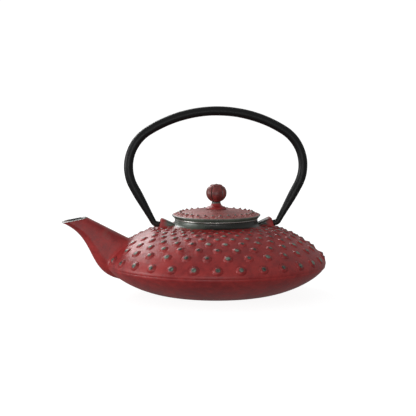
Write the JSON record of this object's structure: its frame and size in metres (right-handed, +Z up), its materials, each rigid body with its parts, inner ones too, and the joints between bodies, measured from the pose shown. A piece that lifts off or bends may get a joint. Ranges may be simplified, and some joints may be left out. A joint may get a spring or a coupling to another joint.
{
  "type": "cast iron teapot",
  "caption": "Low round cast iron teapot with a hobnail shoulder, a side spout, a lift-off knobbed lid, a lift-out mesh infuser and a swinging arched bail.",
  "frame": {"origin": "centre of the flat foot that the pot stands on", "axes": "+Z up along the pot's axis, -X towards the spout, the bail's pivots on a line along X"},
  "size_m": [0.2181, 0.181, 0.1542],
  "materials": {
    "painted_iron": "deep red satin paint over sand-cast iron",
    "lid_iron": "deep red satin paint over sand-cast iron",
    "knob_seat_iron": "deep red satin paint",
    "knob_iron": "red paint rubbed back to a brown patina",
    "washer_steel": "plain",
    "bail_steel": "satin black",
    "rim_steel": "pressed stainless steel",
    "woven_steel": "fine woven stainless mesh"
  },
  "bodies": {
    "pot": {"pot_casting": "painted_iron"},
    "bail": {"bail": "bail_steel"},
    "infuser": {"basket_rim": "rim_steel", "basket_wall": "woven_steel", "basket_floor": "woven_steel", "basket_floor_ring": "rim_steel"},
    "lid": {"lid_casting": "lid_iron", "knob_seat": "knob_seat_iron", "lid_knob": "knob_iron", "knob_washer": "washer_steel"}
  },
  "joints": [
    {"name": "bail_swing", "type": "hinge", "parent": "pot", "child": "bail", "pos_m": [0, 0, 0.0577], "axis": [1, 0, 0], "range_deg": [-98, 98]},
    {"name": "infuser_lift", "type": "slide", "parent": "pot", "child": "infuser", "axis": [0, 0, 1], "range_m": [0, 0.04]},
    {"name": "lid_lift", "type": "slide", "parent": "infuser", "child": "lid", "axis": [0, 0, 1], "range_m": [0, 0.014]}
  ]
}
